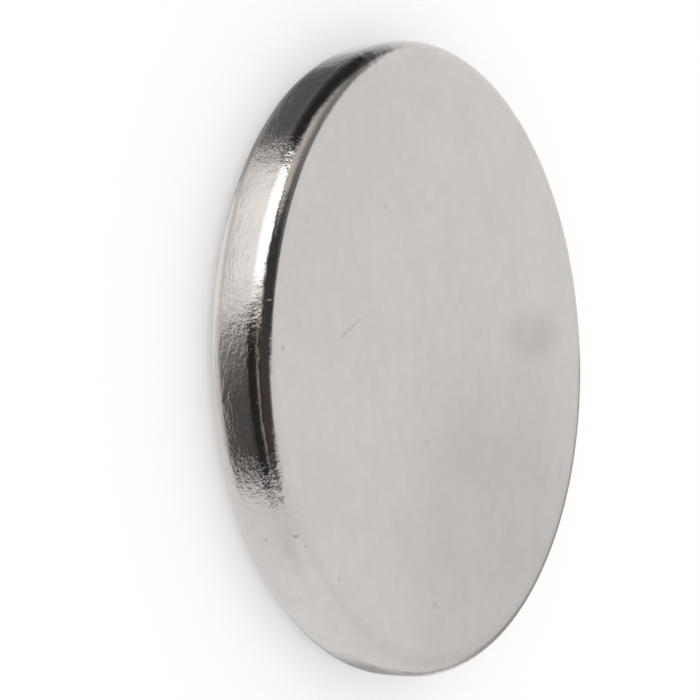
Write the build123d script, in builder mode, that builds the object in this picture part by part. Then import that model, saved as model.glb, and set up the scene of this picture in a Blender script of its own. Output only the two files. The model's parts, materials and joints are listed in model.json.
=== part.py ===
"""Thin round disc magnet: one pressed, tumbled and nickel-plated disc.

Units are millimetres. The disc lies flat on one of its end faces, with +Z along its axis and
its origin at the centre of the lower face.
"""

import os

from build123d import *

# ---- driving dimensions ------------------------------------------------------------------

disc_diameter = 20.0  # across the plated rim
disc_thickness = 2.0  # from pole face to pole face
edge_radius = 0.55  # tumbled rounding where the rim meets each face

# ---- disc --------------------------------------------------------------------------------

# Tumbling rounds both rims alike, so half the section is drawn, from the axis out to the rim:
# a flat face, a quarter-round corner, a straight stretch of wall, a second corner and the
# other face. The corners can never be larger than half the wall that they share.
disc_radius = disc_diameter / 2
corner_radius = min(edge_radius, 0.49 * disc_thickness)
face_radius = disc_radius - corner_radius
wall_bottom = corner_radius
wall_top = disc_thickness - corner_radius

with BuildPart() as magnet_disc:
    with BuildSketch(Plane.XZ) as half_section:
        with BuildLine():
            lower_face = Line((0, 0), (face_radius, 0))
            lower_corner = TangentArc(lower_face @ 1, (disc_radius, wall_bottom), tangent=lower_face % 1)
            wall = Line(lower_corner @ 1, (disc_radius, wall_top))
            upper_corner = TangentArc(wall @ 1, (face_radius, disc_thickness), tangent=wall % 1)
            upper_face = Line(upper_corner @ 1, (0, disc_thickness))
            Line(upper_face @ 1, lower_face @ 0)
        make_face()
    revolve(axis=Axis.Z)

magnet_disc.part.label = "magnet_disc"

# ---- files -------------------------------------------------------------------------------

os.makedirs("parts", exist_ok=True)
export_step(magnet_disc.part, "parts/magnet_disc.step")

print(f"magnet_disc: {magnet_disc.part.volume:.2f} mm3, wall {wall_top - wall_bottom:.2f} mm long")
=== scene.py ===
# %% [markdown]
# # A nickel-plated disc magnet
# A small magnet like this is pressed from powder, sintered, ground flat on both faces, tumbled
# with stones until its rims are round, and plated with bright nickel. It is one solid piece,
# so this lesson is about two things: a very clean round form with a slightly dimpled skin, and
# a metal that looks like nothing but its surroundings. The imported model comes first, because
# it fixes where the disc lies and how large it is.

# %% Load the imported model
import json
import math

import bmesh
import bpy
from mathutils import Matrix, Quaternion, Vector


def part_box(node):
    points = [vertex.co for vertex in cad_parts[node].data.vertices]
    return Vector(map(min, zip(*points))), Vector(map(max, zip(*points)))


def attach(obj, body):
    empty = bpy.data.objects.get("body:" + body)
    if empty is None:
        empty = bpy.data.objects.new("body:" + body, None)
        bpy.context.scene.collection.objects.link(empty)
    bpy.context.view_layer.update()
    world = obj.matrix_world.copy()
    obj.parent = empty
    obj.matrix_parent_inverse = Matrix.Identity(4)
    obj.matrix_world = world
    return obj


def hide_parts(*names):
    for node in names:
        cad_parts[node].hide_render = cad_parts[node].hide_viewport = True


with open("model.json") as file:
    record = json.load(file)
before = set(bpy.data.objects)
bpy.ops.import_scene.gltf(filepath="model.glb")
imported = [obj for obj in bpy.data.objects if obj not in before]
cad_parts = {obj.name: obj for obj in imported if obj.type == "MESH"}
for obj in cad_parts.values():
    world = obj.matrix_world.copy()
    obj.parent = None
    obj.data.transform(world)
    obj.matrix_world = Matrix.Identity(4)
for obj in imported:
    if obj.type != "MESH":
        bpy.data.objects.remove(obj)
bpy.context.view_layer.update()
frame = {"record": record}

# %% [markdown]
# ## The sizes
# Blender works in metres and the disc is only 20 mm across, so a name for a millimetre keeps
# the numbers readable. The sizes could be typed in again, but then they would stay behind when
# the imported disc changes. The diameter and the thickness come from the box round it. The
# rounding of the rim isn't in that box, but the record states how long the straight stretch of
# the wall is, and what is left of the thickness is shared by the two roundings.

# %% Read the disc's sizes from the frame
MM = 0.001
NODE = "magnet_disc"

low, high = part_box(NODE)
disc_radius = (high.x - low.x) / 2
disc_thickness = high.z - low.z
rim_mount = next(mount for mount in frame["record"]["mounts"] if mount["name"] == "rim")
wall_length = rim_mount["dims"]["length_mm"] * MM
edge_radius = (disc_thickness - wall_length) / 2
face_radius = disc_radius - edge_radius

print(f"radius: {disc_radius / MM:.2f} mm")
print(f"thickness: {disc_thickness / MM:.2f} mm")
print(f"rounding: {edge_radius / MM:.2f} mm")

# %% [markdown]
# ## The camera
# A long lens, close to a small thing, looks down on the disc by about thirty degrees. The
# camera is turned on its side, so that the disc, which lies flat, appears to stand upright,
# with its upper face to the right and its wall to the left. The turn could be worked into one
# set of angles, but it is easier to follow in two steps: first the camera is aimed with its top
# side up, and then it is rolled round its own line of sight.

# %% Place, aim and roll the camera
LENS_LENGTH = 102.9  # in millimetres, as Blender counts lenses
CAMERA_DISTANCE = 6.42 * disc_radius
CAMERA_ELEVATION = math.radians(31.5)
CAMERA_ROLL = math.radians(88.15)
AIM_POINT = Vector((-0.031 * disc_radius, -0.245 * disc_radius, 0))
NEAREST_SEEN = 1 * MM  # the usual 100 mm would cut the disc away

camera_data = bpy.data.cameras.new("camera")
camera_data.lens = LENS_LENGTH
camera_data.clip_start = NEAREST_SEEN
camera = bpy.data.objects.new("camera", camera_data)
bpy.context.scene.collection.objects.link(camera)
bpy.context.scene.camera = camera

outwards = Vector((0, -math.cos(CAMERA_ELEVATION), math.sin(CAMERA_ELEVATION)))
camera.location = CAMERA_DISTANCE * outwards
aimed = (AIM_POINT - camera.location).to_track_quat("-Z", "Y")
camera.rotation_mode = "QUATERNION"
camera.rotation_quaternion = aimed @ Quaternion((0, 0, 1), CAMERA_ROLL)
print(f"camera at {[round(c / MM, 1) for c in camera.location]} mm")

# %% [markdown]
# ## Small helpers for nodes
# The studio and the metal are both built from nodes, and both use the same few moves: a sum or
# product of two values, and a smooth step from 0 to 1. Placing each node by hand would take
# many lines and hide what is meant, so a few short functions place them. An input is either a
# plain number or the output of another node.


# %% Helpers: arithmetic, smooth steps and blends
def feed(tree, socket, value):
    """Sets an input to a number or vector, or links another node's output to it."""
    if isinstance(value, bpy.types.NodeSocket):
        tree.links.new(value, socket)
    else:
        socket.default_value = value


def calculate(tree, operation, *values):
    """A Math node on one or two values; gives its output."""
    node = tree.nodes.new("ShaderNodeMath")
    node.operation = operation
    for socket, value in zip(node.inputs, values):
        feed(tree, socket, value)
    return node.outputs["Value"]


def ramp(tree, value, start, end, low=0.0, high=1.0):
    """A smooth change from low to high as value goes from start to end."""
    node = tree.nodes.new("ShaderNodeMapRange")
    node.interpolation_type = "SMOOTHSTEP"
    feed(tree, node.inputs["Value"], value)
    feed(tree, node.inputs["From Min"], start)
    feed(tree, node.inputs["From Max"], end)
    feed(tree, node.inputs["To Min"], low)
    feed(tree, node.inputs["To Max"], high)
    return node.outputs["Result"]


# a Mix node has a set of sockets for each kind of value; these are the ones for colours
COLOUR_A = 6
COLOUR_B = 7
COLOUR_RESULT = 2


def blend_colours(tree, share, first, second, mode="MIX"):
    """Mixes two colours by share; gives the mixed colour."""
    node = tree.nodes.new("ShaderNodeMix")
    node.data_type = "RGBA"
    node.blend_type = mode
    feed(tree, node.inputs["Factor"], share)
    feed(tree, node.inputs[COLOUR_A], first)
    feed(tree, node.inputs[COLOUR_B], second)
    return node.outputs[COLOUR_RESULT]


# %% [markdown]
# ## The studio
# Polished metal has hardly any colour of its own: it shows the room. A studio therefore stands
# a small shiny thing inside a pale tent, and hangs black flags in the tent, so that its curves
# get dark lines and don't vanish in the white. The flags could be real cards round the disc,
# but a card gets in the way of any other camera. So the tent, the flags and one softbox are
# drawn in the World by direction: azimuth runs round the disc from the camera's side, and
# elevation up from the disc's plane. Each panel is a line of a table: its left and right edge,
# its lower and upper edge, its colour, how soft its four edges are and, where it stands askew,
# how much it leans. A later panel covers the ones before it.

# %% Start the World with azimuth and elevation
world = bpy.data.worlds.new("studio")
bpy.context.scene.world = world
world.use_nodes = True
sky = world.node_tree
sky.nodes.clear()

looking = sky.nodes.new("ShaderNodeTexCoord").outputs["Generated"]
parts = sky.nodes.new("ShaderNodeSeparateXYZ")
sky.links.new(looking, parts.inputs["Vector"])
aside, back, up = (parts.outputs[name] for name in "XYZ")
from_left = calculate(sky, "MULTIPLY", aside, -1.0)
from_front = calculate(sky, "MULTIPLY", back, -1.0)
azimuth = calculate(sky, "DEGREES", calculate(sky, "ARCTAN2", from_left, from_front))
elevation = calculate(sky, "DEGREES", calculate(sky, "ARCSINE", up))
print("world started:", world.name)


# %% Helpers: hang panels in the tent
def panel(colours, across, upward, colour, soft, lean=0.0):
    """Lays one soft-edged panel over colours.

    Across and upward are its edges, in degrees of azimuth and of elevation. Soft is half the
    width of its left, right, lower and upper edge. A panel that leans moves sideways by that
    many degrees for each degree above its lower edge.
    """
    soft_left, soft_right, soft_lower, soft_upper = soft
    sideways = azimuth
    if lean:
        rise = calculate(sky, "SUBTRACT", elevation, upward[0])
        sideways = calculate(sky, "SUBTRACT", azimuth, calculate(sky, "MULTIPLY", rise, lean))
    edges = (
        ramp(sky, sideways, across[0] - soft_left, across[0] + soft_left),
        ramp(sky, sideways, across[1] - soft_right, across[1] + soft_right, 1.0, 0.0),
        ramp(sky, elevation, upward[0] - soft_lower, upward[0] + soft_lower),
        ramp(sky, elevation, upward[1] - soft_upper, upward[1] + soft_upper, 1.0, 0.0),
    )
    share = edges[0]
    for edge in edges[1:]:
        share = calculate(sky, "MULTIPLY", share, edge)
    return blend_colours(sky, share, colours, (*colour, 1.0))


def hang(title, colours, *panels):
    """Lays several panels over colours, each over the ones before it."""
    for facts in panels:
        colours = panel(colours, *facts)
    print(f"panels, {title}: {len(panels)}")
    return colours


# %% The bare tent
TENT = (0.855, 0.850, 0.850)
TENT_FLOOR = (0.80, 0.79, 0.785)
SHADED_SIDE = (0.76, 0.75, 0.75)
TENT_HEM = (-85.0, -40.0)  # the elevations between which the floor turns into wall
BACK_WALL = (0.3, 0.8)  # how far back a direction points where the back wall begins
DARKER_SIDE = 0.90  # how bright the back wall still is on its darker side

rising = ramp(sky, elevation, *TENT_HEM)
surround = blend_colours(sky, rising, (*TENT_FLOOR, 1.0), (*TENT, 1.0))
on_back_wall = ramp(sky, back, *BACK_WALL)
fall_off = ramp(sky, aside, -0.35, 0.35, 1.0, DARKER_SIDE)
surround = blend_colours(sky, on_back_wall, surround, fall_off, "MULTIPLY")
surround = hang(
    "shaded side",
    surround,
    ((-75, -30), (-36, 60), SHADED_SIDE, (10, 5, 20, 10)),
)

# %% Overhead: the tent darkens towards its open top, which is wider on the camera's side
ALL_ROUND = (-240, 240)
TENT_TOP = (0.72, 0.715, 0.71)
OPEN_TOP = (0.10, 0.095, 0.095)
SIDE_FLAG = (0.042, 0.040, 0.041)
DARK_ROOM = (0.058, 0.045, 0.040)

surround = hang(
    "overhead",
    surround,
    (ALL_ROUND, (60, 100), TENT_TOP, (2, 2, 15, 2)),
    (ALL_ROUND, (76, 100), OPEN_TOP, (2, 2, 5, 2)),
    ((26, 173), (41, 100), SIDE_FLAG, (6, 7, 7, 2), 0.3),
    ((-30, 44), (52, 100), DARK_ROOM, (6, 10, 5, 2)),
    ((-50, 28), (43, 100), DARK_ROOM, (8, 8, 4, 2), -0.9),
)

# %% Beside the softbox: a strip of paler wall, which fades, and the black flag under it
BLACK = (0.020, 0.020, 0.022)
GREY_FLAG = (0.110, 0.107, 0.107)
FADED_WALL = (0.22, 0.215, 0.21)
PALE_WALL = (0.60, 0.56, 0.53)
TABLE_LIGHT = (0.98, 0.97, 0.96)
TABLE_SHADE = (0.31, 0.30, 0.295)

surround = hang(
    "beside the softbox",
    surround,
    ((78, 141), (28, 58), FADED_WALL, (5, 7, 4, 6), 0.96),
    ((73, 119), (29.5, 60.5), PALE_WALL, (5, 22, 5, 6)),
    ((28, 165), (-88, -60), TABLE_LIGHT, (10, 15, 6, 4)),
    ((88, 163), (-60, -39), TABLE_SHADE, (10, 6, 5, 3)),
    ((72, 141), (-41, -24.5), GREY_FLAG, (7, 17, 6, 5)),
    ((70, 131), (-27, 33), GREY_FLAG, (6, 14, 5, 5)),
    ((100, 136), (8, 31), GREY_FLAG, (6, 5, 7, 4)),
    ((70, 126), (-14, 27), BLACK, (6, 6, 18, 6)),
)

# %% In front: the shaded table, and a black flag with a paler strip over it
FRONT_TABLE = (0.73, 0.72, 0.715)
FLAG_SHADOW = (0.54, 0.53, 0.525)
FLAG_EDGE = (0.092, 0.086, 0.083)
FLAG_CORNER = (0.25, 0.24, 0.23)
FLAG_TOP = (0.036, 0.031, 0.030)
PALE_STRIP = (0.36, 0.31, 0.285)

surround = hang(
    "in front",
    surround,
    ((-46, 28), (-100, -30), FRONT_TABLE, (8, 8, 8, 5)),
    ((-46, 28), (-58, -30), FLAG_SHADOW, (8, 8, 7, 5)),
    ((-42, 20), (-44, 44), FLAG_EDGE, (5, 7, 4, 4)),
    ((-3, 26), (-45, -20), FLAG_CORNER, (12, 6, 5, 12)),
    ((-47, 19), (31, 50), FLAG_TOP, (5, 6, 4, 7)),
    ((-42, 18), (27, 35), PALE_STRIP, (8, 5, 7, 3)),
    ((-42, 15), (-24, 24), BLACK, (5, 5, 12, 5)),
)

# %% The softbox, brightest in its upper part, and the shade under it
SOFTBOX_SHADE = (0.72, 0.71, 0.71)
SOFTBOX = (1.12, 1.09, 1.07)
SOFTBOX_LAMP = (2.3, 2.3, 2.3)

surround = hang(
    "softbox",
    surround,
    ((12, 80), (-60, -30), SOFTBOX_SHADE, (8, 8, 6, 5)),
    ((23, 70), (-39, -20), SOFTBOX, (13, 14, 5, 6)),
    ((18, 56), (-26, 46.5), SOFTBOX, (9, 6, 6, 5), 0.2),
    ((25, 62.5), (2, 42.5), SOFTBOX_LAMP, (8, 6, 22, 4), 0.2),
)

# %% Behind, low down: a grey fold of the tent with a bright gap in it
GREY_FOLD = (0.39, 0.38, 0.375)
BRIGHT_GAP = (0.95, 0.94, 0.94)

surround = hang(
    "behind",
    surround,
    ((-178, -138), (-42, -10), GREY_FOLD, (6, 9, 8, 6)),
    ((-178, -131), (-16, 22), GREY_FOLD, (6, 6, 6, 5), -0.85),
    ((-170, -148), (-26, -8), BRIGHT_GAP, (4, 5, 7, 6)),
)

# %% [markdown]
# ## Who sees what
# Only reflections are to see the tent and its flags. Light that falls on the floor comes from
# an even sky, so that no flag throws a shade on it, and a camera that looks past the floor sees
# white. Lamps could light the floor instead, but they would shine in the metal too, and a World
# that asks each ray what it is needs none.

# %% Give each kind of ray its surroundings
EVEN_LIGHT = (0.95, 0.95, 0.95, 1.0)
WHITE = (1.0, 1.0, 1.0, 1.0)

rays = sky.nodes.new("ShaderNodeLightPath")


def backdrop(colour):
    """A Background shader that shines with a colour."""
    node = sky.nodes.new("ShaderNodeBackground")
    feed(sky, node.inputs["Color"], colour)
    node.inputs["Strength"].default_value = 1.0
    return node.outputs["Background"]


def choose(kind_of_ray, otherwise, chosen):
    """Shows the chosen backdrop to one kind of ray and the other one to the rest."""
    node = sky.nodes.new("ShaderNodeMixShader")
    sky.links.new(rays.outputs[kind_of_ray], node.inputs["Fac"])
    sky.links.new(otherwise, node.inputs[1])
    sky.links.new(chosen, node.inputs[2])
    return node.outputs["Shader"]


lit = choose("Is Glossy Ray", backdrop(EVEN_LIGHT), backdrop(surround))
seen = choose("Is Camera Ray", lit, backdrop(WHITE))
world_output = sky.nodes.new("ShaderNodeOutputWorld")
sky.links.new(seen, world_output.inputs["Surface"])
print("studio nodes:", len(sky.nodes))

# %% [markdown]
# ## The floor
# The disc lies on a plain white floor. A floor that is only lit would come out pale grey, and
# more light on it would fall on the disc too. So a little light of its own, which only the
# camera sees, lifts it to white, and the disc's soft contact shadow stays. The floor is left
# out of reflections, because so near the wall it would wipe out every flag.

# %% Lay the floor
FLOOR_SIZE = 60 * disc_radius
FLOOR_GAP = 0.005 * MM

bpy.ops.object.select_all(action="DESELECT")
bpy.ops.mesh.primitive_plane_add(size=FLOOR_SIZE, location=(0, 0, -FLOOR_GAP))
floor = bpy.context.active_object
floor.name = "floor"
floor.visible_glossy = False
print(f"floor: {FLOOR_SIZE / MM:.0f} mm square")

# %% Paint the floor
FLOOR_WHITE = (0.8, 0.8, 0.8, 1.0)
FLOOR_LIFT = 0.25

floor_material = bpy.data.materials.new("white_floor")
floor_material.use_nodes = True
paint = floor_material.node_tree
paint.nodes.clear()
matte = paint.nodes.new("ShaderNodeBsdfDiffuse")
matte.inputs["Color"].default_value = FLOOR_WHITE
to_camera = paint.nodes.new("ShaderNodeLightPath").outputs["Is Camera Ray"]
lift = paint.nodes.new("ShaderNodeEmission")
feed(paint, lift.inputs["Strength"], calculate(paint, "MULTIPLY", to_camera, FLOOR_LIFT))
lifted = paint.nodes.new("ShaderNodeAddShader")
paint.links.new(matte.outputs["BSDF"], lifted.inputs[0])
paint.links.new(lift.outputs["Emission"], lifted.inputs[1])
floor_output = paint.nodes.new("ShaderNodeOutputMaterial")
paint.links.new(lifted.outputs["Shader"], floor_output.inputs["Surface"])
floor.data.materials.append(floor_material)
print("floor painted:", floor_material.name)

# %% [markdown]
# ## The disc's form
# The real disc is a flat cylinder whose two rims are tumbled round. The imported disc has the
# right size, but its facets are large for a mirror: a reflection that slides along a rim shows
# every flat. Half of the section could be spun round the axis, but a cylinder is quicker to
# follow by hand: it starts with far more sides, its two sharp rims are beveled into quarter
# rounds, and its wall is cut into rings, so that the dimples of the skin can be real shape and
# not only shading.

# %% Add the blank
SIDES = 1400  # so many that no flat shows in a reflection

bpy.ops.object.select_all(action="DESELECT")
bpy.ops.mesh.primitive_cylinder_add(
    vertices=SIDES,
    radius=disc_radius,
    depth=disc_thickness,
    end_fill_type="NGON",
    location=(0, 0, disc_thickness / 2),
)
disc = bpy.context.active_object
disc.name = "nickel_disc"
bpy.ops.object.transform_apply(location=True, rotation=True, scale=True)
print("blank:", len(disc.data.polygons), "faces")


# %% Helper: pick parts of the mesh by a rule
def pick(kind, rule):
    """In edit mode, selects only the edges or faces that the rule accepts; gives how many."""
    bpy.ops.mesh.select_mode(type={"edges": "EDGE", "faces": "FACE"}[kind])
    bpy.ops.mesh.select_all(action="DESELECT")
    mesh = bmesh.from_edit_mesh(bpy.context.active_object.data)
    chosen = [part for part in getattr(mesh, kind) if rule(part)]
    for part in chosen:
        part.select_set(True)
    mesh.select_flush_mode()
    bmesh.update_edit_mesh(bpy.context.active_object.data)
    return len(chosen)


def climb_of(edge):
    """How far an edge climbs, in metres."""
    return abs(edge.verts[0].co.z - edge.verts[1].co.z)


def is_cap(face):
    """Whether a face is still one of the two many-sided ones that close the disc."""
    return len(face.verts) == SIDES


# %% Round both rims
ROUND_STEPS = 16
QUARTER_CIRCLE = 0.5  # the bevel's profile that is part of a circle
LEVEL = 0.01 * MM  # an edge that climbs less than this lies flat

bpy.ops.object.mode_set(mode="EDIT")
rim_edges = pick("edges", lambda edge: climb_of(edge) < LEVEL)
bpy.ops.mesh.bevel(
    offset=edge_radius,
    segments=ROUND_STEPS,
    profile=QUARTER_CIRCLE,
    affect="EDGES",
)
print("rim edges rounded:", rim_edges)

# %% Cut the wall into rings
WALL_CUTS = 17  # the rings are then about as high as a facet is wide

wall_edges = pick("edges", lambda edge: climb_of(edge) > wall_length / 2)
bpy.ops.mesh.subdivide(number_cuts=WALL_CUTS)
print("wall edges cut:", wall_edges)

# %% Ring the two flat faces and close their middles
RING_WIDTHS = (0.12 * MM, 0.25 * MM, 0.6 * MM)

for ring_width in RING_WIDTHS:
    pick("faces", is_cap)
    bpy.ops.mesh.inset(thickness=ring_width, depth=0)
middles = pick("faces", is_cap)
bpy.ops.mesh.poke()
bpy.ops.mesh.select_all(action="SELECT")
bpy.ops.mesh.normals_make_consistent(inside=False)
bpy.ops.object.mode_set(mode="OBJECT")
bpy.ops.object.shade_smooth()
print("middles closed:", middles, "faces now:", len(disc.data.polygons))

# %% [markdown]
# ## The skin of the rim
# Tumbling wears the ends of the wall a little more than its middle, so the wall bulges by a
# hundredth of a millimetre, and what it reflects runs smoothly on into the roundings. Tumbling
# and plating also leave a fine skin like orange peel on the rim, while the ground faces stay
# flat. A bump in the material could shade such a skin, but it would be missing from the mesh
# and from the outline. So Displace modifiers press it in, each held to its place by a vertex
# group, and the material adds only the finest grain.


# %% Helpers: a group of vertices, and a modifier that moves them
def weigh(name, rule):
    """Makes a vertex group with a share from 0 to 1 for each vertex, by a rule on its place."""
    group = disc.vertex_groups.new(name=name)
    for vertex in disc.data.vertices:
        share = rule(vertex.co)
        if share > 0:
            group.add([vertex.index], min(1.0, share), "REPLACE")
    return group


def press(name, group, depth, grain=None):
    """Moves a group along its normals: all by depth, or by a cloud pattern of a grain."""
    modifier = disc.modifiers.new(name, "DISPLACE")
    modifier.vertex_group = group.name
    modifier.strength = depth
    modifier.mid_level = 0.0
    if grain:
        # the middle of the pattern stays where it is, and the rest goes in or out
        modifier.mid_level = 0.5
        modifier.texture = bpy.data.textures.new(name, "CLOUDS")
        modifier.texture.noise_scale = grain
        modifier.texture.noise_depth = 1
        modifier.texture_coords = "LOCAL"
    bpy.ops.object.modifier_apply(modifier=name)
    print(f"{name}: {abs(depth) / MM:.4f} mm at full share")


# %% Wear the ends of the wall
END_SLOPE = math.tan(math.radians(2.4))  # how far the wall leans at its two ends
WORN_MOST = 0.020 * MM  # the full depth, of which each vertex gets a share


def worn(place):
    """How much is worn off at a place on the rim, as a share of WORN_MOST."""
    over_face = math.hypot(place.x, place.y) - face_radius
    climb = abs(place.z - disc_thickness / 2)
    if over_face <= 0:
        return 0
    # the wall is a very flat arch
    if climb <= wall_length / 2:
        return END_SLOPE * climb**2 / wall_length / WORN_MOST
    # the rounding goes on with the same slope and runs out at the face
    across = min(1.0, over_face / edge_radius)
    at_wall_end = END_SLOPE * wall_length / 4
    on_rounding = END_SLOPE * edge_radius * math.sqrt(1 - across**2)
    return across**2 * (at_wall_end + on_rounding) / WORN_MOST


bpy.context.view_layer.objects.active = disc
press("wall_bulge", weigh("worn_rim", worn), -WORN_MOST)

# %% Press the wave and the orange peel in
SKIN_FADE = 0.75 * edge_radius  # from the border of the face to the skin's full depth
WAVE_DEPTH = 0.010 * MM
WAVE_GRAIN = 1.3 * MM
PEEL_DEPTH = 0.0055 * MM
PEEL_GRAIN = 0.22 * MM

rim = weigh("rim", lambda place: (math.hypot(place.x, place.y) - face_radius) / SKIN_FADE)
press("tumbled_wave", rim, WAVE_DEPTH, grain=WAVE_GRAIN)
press("orange_peel", rim, PEEL_DEPTH, grain=PEEL_GRAIN)
print("triangles:", sum(len(face.vertices) - 2 for face in disc.data.polygons))

# %% [markdown]
# ## The nickel
# Bright nickel is a warm, pale grey mirror. On the ground faces the fine grinding marks under
# the plate blur it to satin; on the tumbled rim it stays glossy. A full metal with high
# roughness could make the satin, but it still turns nearly black where it faces a flag, and
# real ground nickel scatters more light than that. So the face is part metal and part plain
# pale grey, and the rim is all metal. Everything is placed by Object coordinates, so that the
# finish is fixed to the disc.

# %% Start the metal
nickel = bpy.data.materials.new("bright_nickel")
nickel.use_nodes = True
metal = nickel.node_tree
shader = metal.nodes["Principled BSDF"]
position = metal.nodes.new("ShaderNodeTexCoord").outputs["Object"]
print("material:", nickel.name)


# %% Helpers: vectors, products and the strongest of several patterns
def vector(operation, first, second=None, output="Vector"):
    """A Vector Math node on one or two vectors; gives its output."""
    node = metal.nodes.new("ShaderNodeVectorMath")
    node.operation = operation
    feed(metal, node.inputs[0], first)
    if second is not None:
        feed(metal, node.inputs[1], second)
    return node.outputs[output]


def both(first, second):
    """The product of two patterns, which is high only where both are."""
    return calculate(metal, "MULTIPLY", first, second)


def strongest(patterns):
    """The highest of several patterns at each place."""
    highest = patterns[0]
    for pattern in patterns[1:]:
        highest = calculate(metal, "MAXIMUM", highest, pattern)
    return highest


# %% Tell the rim from the face, and the upper face from the rest
FACE_METAL = 0.45
RIM_METAL = 1.0
RIM_BORDER = (face_radius - 0.45 * MM, face_radius + 0.15 * MM)
TOP_BORDER = (disc_thickness - 0.1 * MM, disc_thickness - 0.02 * MM)

from_axis = vector("LENGTH", vector("MULTIPLY", position, (1, 1, 0)), output="Value")
on_rim = ramp(metal, from_axis, *RIM_BORDER)
split = metal.nodes.new("ShaderNodeSeparateXYZ")
metal.links.new(position, split.inputs["Vector"])
on_top = ramp(metal, split.outputs["Z"], *TOP_BORDER)
metal_share = ramp(metal, on_rim, 0.0, 1.0, FACE_METAL, RIM_METAL)
metal.links.new(metal_share, shader.inputs["Metallic"])
print("metal on the face:", FACE_METAL, "on the rim:", RIM_METAL)


# %% Helpers: clouds, spots and lines
MARK_CORE = 0.3  # the share of a mark's size that has its full strength


def clouds(size, detail=2.0, roughness=0.5, length=1.0):
    """A noise pattern near 0.5, in patches size metres high and length times as long."""
    node = metal.nodes.new("ShaderNodeTexNoise")
    metal.links.new(vector("DIVIDE", position, (length, length, 1.0)), node.inputs["Vector"])
    node.inputs["Scale"].default_value = 1 / size
    node.inputs["Detail"].default_value = detail
    node.inputs["Roughness"].default_value = roughness
    return node.outputs["Fac"]


def near(spot, size):
    """1 round a spot on the disc, fading to 0 at the edge of an oval; both in millimetres."""
    offset = vector("SUBTRACT", position, [c * MM for c in spot])
    shrunk = vector("DIVIDE", offset, [c * MM for c in size])
    return ramp(metal, vector("LENGTH", shrunk, output="Value"), MARK_CORE, 1.0, 1.0, 0.0)


def along(start, end, half_width):
    """1 on a line between two places (x, y) on the upper face, 0 off it; in millimetres."""
    run = Vector((end[0] - start[0], end[1] - start[1], 0))
    middle = Vector(((start[0] + end[0]) / 2, (start[1] + end[1]) / 2, disc_thickness / MM))
    offset = vector("SUBTRACT", position, middle * MM)
    lengthwise = run.normalized()
    crosswise = lengthwise.cross((0, 0, 1))
    shares = []
    for direction, half in ((lengthwise, run.length / 2), (crosswise, half_width)):
        away = vector("DOT_PRODUCT", offset, direction, output="Value")
        away = calculate(metal, "ABSOLUTE", away)
        shares.append(ramp(metal, away, MARK_CORE * half * MM, half * MM, 1.0, 0.0))
    return both(*shares)


# %% [markdown]
# ## Marks of use
# A magnet that has been handled has a hairline scratch or two, a smudge left by fingers, and
# specks where the plating is pitted. A broad darker spot over one side of the upper face is
# painted shade: it stands in for the light falling off across that face. They could be painted
# on an image, but these few are drawn by rule: each is a soft spot or line at its own place on
# the disc. A pattern here only says where a mark is; the cells on colour and gloss say what it
# does.

# %% A hairline scratch with a fainter tail
SCRATCH = ((-0.50, -6.35), (-1.30, -4.75))
SCRATCH_HALF_WIDTH = 0.075
TAIL = ((-1.25, -4.95), (-1.35, -3.95))
TAIL_HALF_WIDTH = 0.09
TAIL_STRENGTH = 0.4

line = along(*SCRATCH, SCRATCH_HALF_WIDTH)
tail = both(along(*TAIL, TAIL_HALF_WIDTH), TAIL_STRENGTH)
scratch = both(strongest([line, tail]), on_top)
print(f"scratch: {math.dist(*SCRATCH):.1f} mm long, its tail {math.dist(*TAIL):.1f} mm")

# %% Painted shade over one side of the upper face, and a darker smudge with a faint dab beside it
# each spot: its place and its size
PAINTED_SHADE_SPOT = ((5.8, 3.2, 2.0), (9.0, 9.0, 9.0))
SMUDGE = ((-0.7, 5.9, 2.0), (1.2, 2.8, 1.0))
SMUDGE_CORE = ((-0.6, 6.5, 2.0), (0.9, 1.3, 1.0))
DAB = ((-2.1, 4.8, 2.0), (0.4, 0.6, 0.5))
DAB_STRENGTH = 0.3
SMUDGE_CLOUDS = 1.8 * MM

# painted shade: a broad spot that darkens one side of the upper face, where its light falls off
painted_shade_spot = both(near(*PAINTED_SHADE_SPOT), on_top)
smudge = strongest([
    both(near(*SMUDGE), ramp(metal, clouds(SMUDGE_CLOUDS), 0.1, 0.6)),
    near(*SMUDGE_CORE),
    both(near(*DAB), DAB_STRENGTH),
])
print(f"film: {PAINTED_SHADE_SPOT[1][0]:.0f} mm out from its middle, smudge: {SMUDGE[1][1]:.1f} mm")

# %% Pits in the plating, and nicks on the rounding
# each pit: x, y, z and size in millimetres, and how dark it is
PITS = (
    (-0.4, -9.0, 2.0, 0.08, 0.35),
    (-4.6, -3.3, 2.0, 0.15, 0.15),
    (-4.7, -0.8, 2.0, 0.18, 0.08),
    (6.3, -6.5, 2.0, 0.12, 0.2),
    (7.7, -1.1, 2.0, 0.16, 0.2),
    (2.6, -1.3, 2.0, 0.15, 0.12),
    (5.0, -8.7, 1.0, 0.07, 0.5),
    (4.9, -8.5, 1.9, 0.10, 0.5),
    (5.2, -8.1, 2.0, 0.08, 0.25),
)
PIT_STRETCH = 1.5  # a pit is drawn out along Y
# each nick: its place and its size
NICKS = (
    ((-1.72, -9.53, 1.95), (0.05, 0.12, 0.10)),
    ((-1.02, -9.92, 1.66), (0.035, 0.08, 0.08)),
    ((-5.75, -8.18, 1.29), (0.06, 0.06, 0.05)),
)

pits = strongest([
    both(near((x, y, z), (size, PIT_STRETCH * size, size)), darkness)
    for x, y, z, size, darkness in PITS
])
nicks = strongest([near(spot, size) for spot, size in NICKS])
print("pits:", len(PITS), "nicks:", len(NICKS))

# %% [markdown]
# ## Colour, gloss and grain
# The plate isn't one even colour: it is a touch paler and darker in soft clouds, large and
# small. One flat colour would look like paint. The same small clouds change the satin of the
# face a little, and the rim has a gloss of its own. Under all this lies a grain a tenth of a
# millimetre wide. It is too fine for the mesh, so it is a bump, deep on the rim and all but
# gone on the face.

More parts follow.
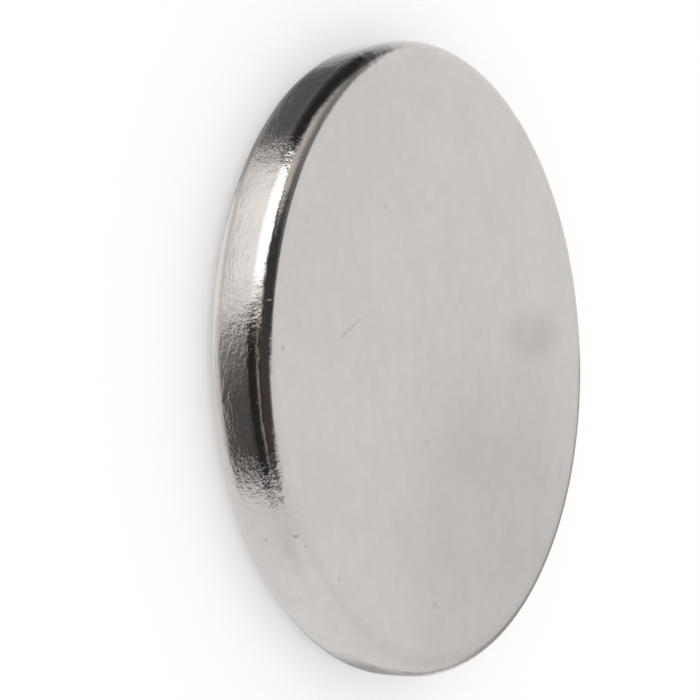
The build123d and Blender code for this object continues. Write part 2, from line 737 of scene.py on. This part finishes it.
# %% Colour
NICKEL_DEEP = (0.660, 0.633, 0.611, 1.0)
NICKEL_PALE = (0.726, 0.697, 0.674, 1.0)
LARGE_CLOUDS = 2.4 * MM
SMALL_CLOUDS = 0.5 * MM
CLOUD_RANGE = (0.30, 0.70)  # where in the noise a cloud begins, and where it is full

cloudy = ramp(metal, clouds(LARGE_CLOUDS, detail=4.0, roughness=0.6), *CLOUD_RANGE)
mottle = ramp(metal, clouds(SMALL_CLOUDS, detail=3.0, roughness=0.6), *CLOUD_RANGE)
tone = calculate(metal, "ADD", both(cloudy, 0.5), both(mottle, 0.5))
colour = blend_colours(metal, tone, NICKEL_DEEP, NICKEL_PALE)
# each mark: where it is, how much of it is used, and what it multiplies the colour by
for mark, share, tint in (
    # painted shade, darkening one side of the upper face
    (painted_shade_spot, 1.0, (0.885, 0.885, 0.885)),
    (smudge, 0.8, (0.87, 0.865, 0.86)),
    (scratch, 0.7, (0.80, 0.79, 0.78)),
    (pits, 1.0, (0.3, 0.28, 0.27)),
):
    colour = blend_colours(metal, both(mark, share), colour, (*tint, 1.0), "MULTIPLY")
metal.links.new(colour, shader.inputs["Base Color"])
print("nickel between", NICKEL_DEEP[:3], "and", NICKEL_PALE[:3])

# %% Gloss
SATIN = (0.38, 0.42)  # the roughness of the face
GLOSSY = (0.09, 0.14)  # the roughness of the rim
DULL = 0.5  # the roughness of a nick
GLOSS_CLOUDS = 0.3 * MM


def blend_numbers(share, first, second):
    """Mixes two numbers by share; gives the mixed number."""
    node = metal.nodes.new("ShaderNodeMix")
    feed(metal, node.inputs["Factor"], share)
    feed(metal, node.inputs["A"], first)
    feed(metal, node.inputs["B"], second)
    return node.outputs["Result"]


satin = ramp(metal, mottle, 0.0, 1.0, *SATIN)
glossy = ramp(metal, clouds(GLOSS_CLOUDS), *CLOUD_RANGE, *GLOSSY)
on_face = calculate(metal, "SUBTRACT", 1.0, on_rim)
roughness = blend_numbers(nicks, blend_numbers(on_face, glossy, satin), DULL)
metal.links.new(roughness, shader.inputs["Roughness"])
print("roughness of the face:", SATIN, "of the rim:", GLOSSY)

# %% Fine grain, deeper in some patches of the rim than in others
GRAIN_DEPTH = 0.006 * MM
GRAIN_SIZE = 0.085 * MM
STREAK_HEIGHT = 0.10 * MM
STREAK_LENGTH = 3.0  # times its height
PATCH_SIZE = 0.9 * MM
PATCH_DEPTHS = (0.6, 1.1)  # the share of the grain's depth, from patch to patch
FACE_GRAIN = 0.09  # what is left of the grain on the face
GRAIN_BORDER = (face_radius - 0.1 * MM, face_radius + 0.45 * MM)
# each rough patch: its place and its size
ROUGH_PATCHES = (
    ((-0.8, -9.97, 1.1), (1.3, 0.9, 1.6)),
    ((3.3, -9.4, 1.2), (1.3, 1.0, 1.6)),
    ((-5.9, -8.1, 1.2), (1.0, 1.2, 1.6)),
)

grain = clouds(GRAIN_SIZE, roughness=0.6)
streaks = clouds(STREAK_HEIGHT, detail=1.0, length=STREAK_LENGTH)
grain_height = calculate(metal, "ADD", grain, streaks)
patches = ramp(metal, clouds(PATCH_SIZE, detail=1.0), 0.35, 0.65, *PATCH_DEPTHS)
for spot, size in ROUGH_PATCHES:
    patches = calculate(metal, "ADD", patches, near(spot, size))
fade_in = ramp(metal, from_axis, *GRAIN_BORDER, FACE_GRAIN, 1.0)
bump = metal.nodes.new("ShaderNodeBump")
bump.inputs["Distance"].default_value = GRAIN_DEPTH
metal.links.new(both(grain_height, both(patches, fade_in)), bump.inputs["Height"])
metal.links.new(bump.outputs["Normal"], shader.inputs["Normal"])
disc.data.materials.clear()
disc.data.materials.append(nickel)
print("nickel nodes:", len(metal.nodes))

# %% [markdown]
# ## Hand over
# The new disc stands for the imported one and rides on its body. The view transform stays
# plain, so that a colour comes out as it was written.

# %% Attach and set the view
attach(disc, "root")
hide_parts(NODE)
bpy.context.scene.view_settings.view_transform = "Standard"
